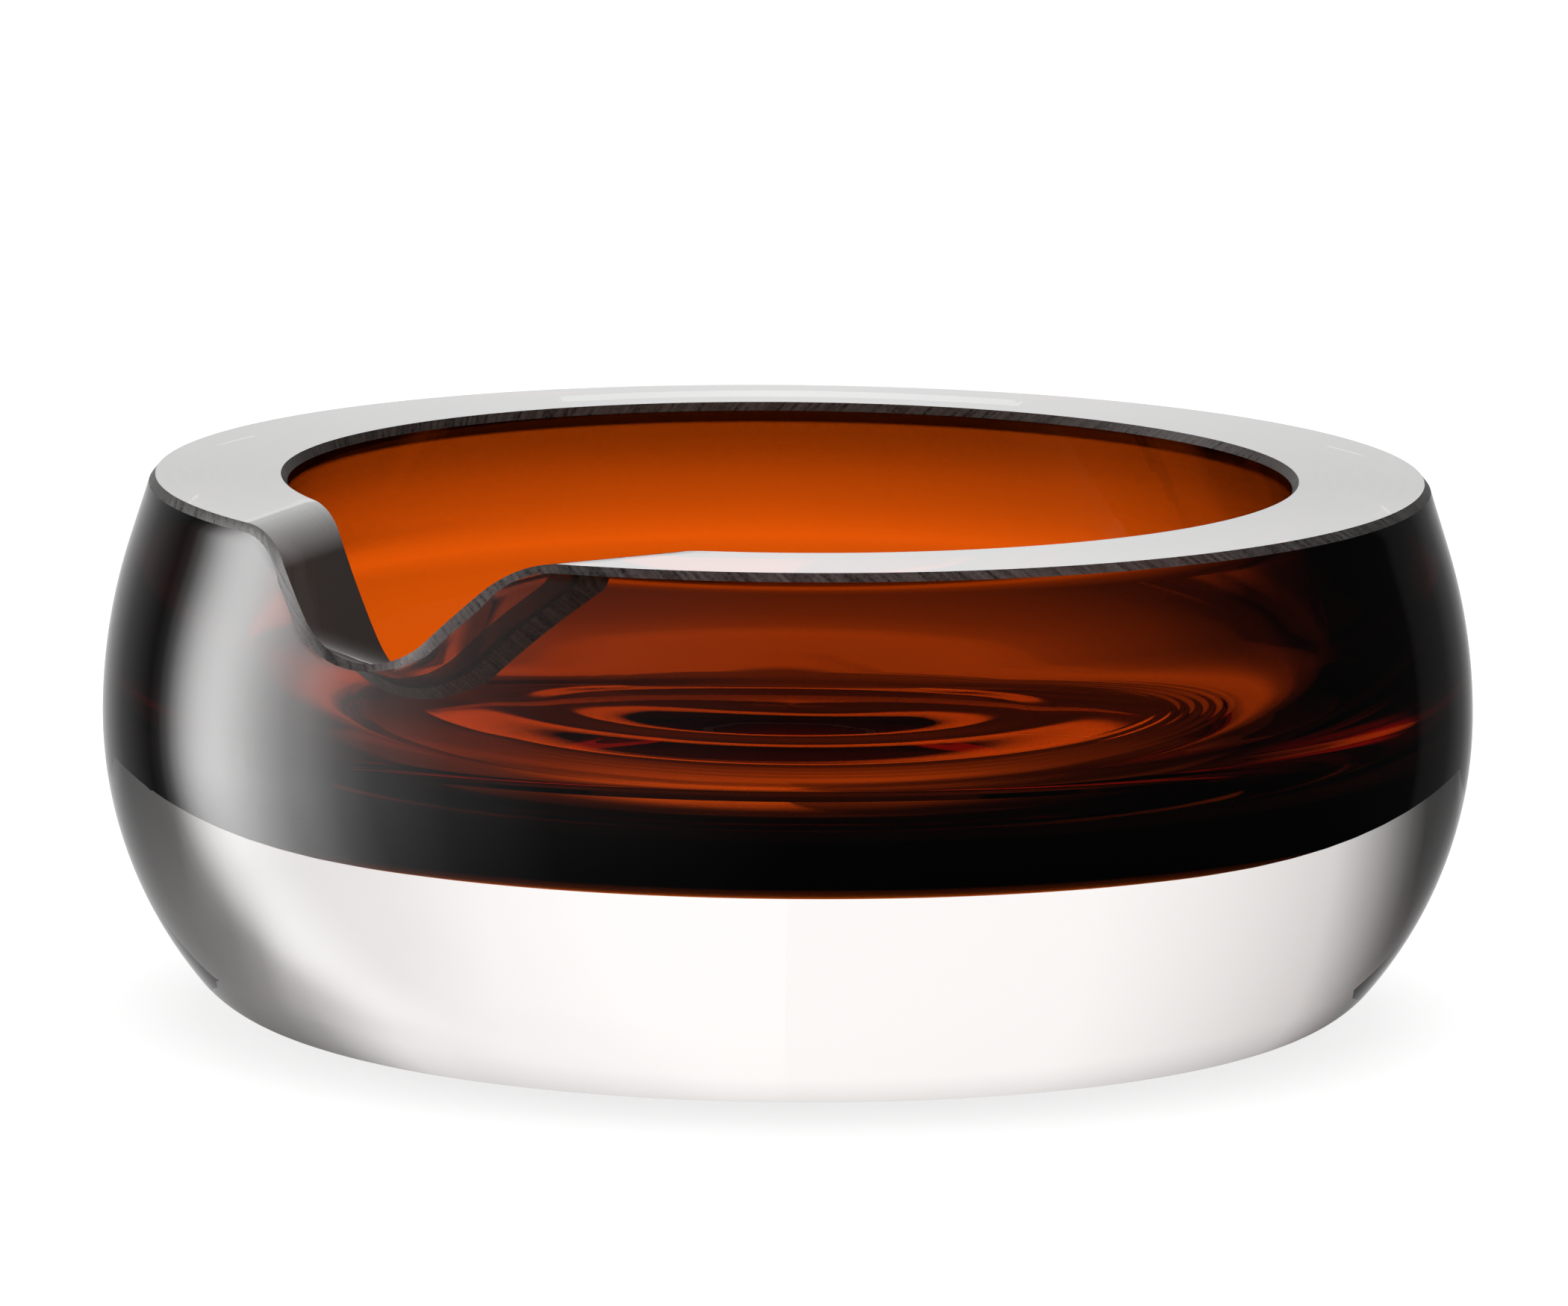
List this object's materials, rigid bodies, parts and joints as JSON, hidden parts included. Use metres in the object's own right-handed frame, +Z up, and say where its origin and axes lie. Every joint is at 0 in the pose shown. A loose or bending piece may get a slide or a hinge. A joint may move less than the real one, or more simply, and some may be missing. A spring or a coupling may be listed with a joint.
{
  "type": "art glass bowl",
  "caption": "Heavy round cased glass bowl: amber cup fused inside a thick clear casing, flat cut rim and a sloping rest notch through the wall.",
  "frame": {"origin": "middle of the flat base, on the surface that the bowl stands on", "axes": "+Z up along the bowl's axis, -Y to the front; the rest notch is to the front left"},
  "size_m": [0.1599, 0.16, 0.0629],
  "materials": {
    "amber_glass": "polished",
    "clear_glass": "polished"
  },
  "bodies": {
    "root": {"amber_lining": "amber_glass", "clear_casing": "clear_glass"}
  },
  "joints": []
}
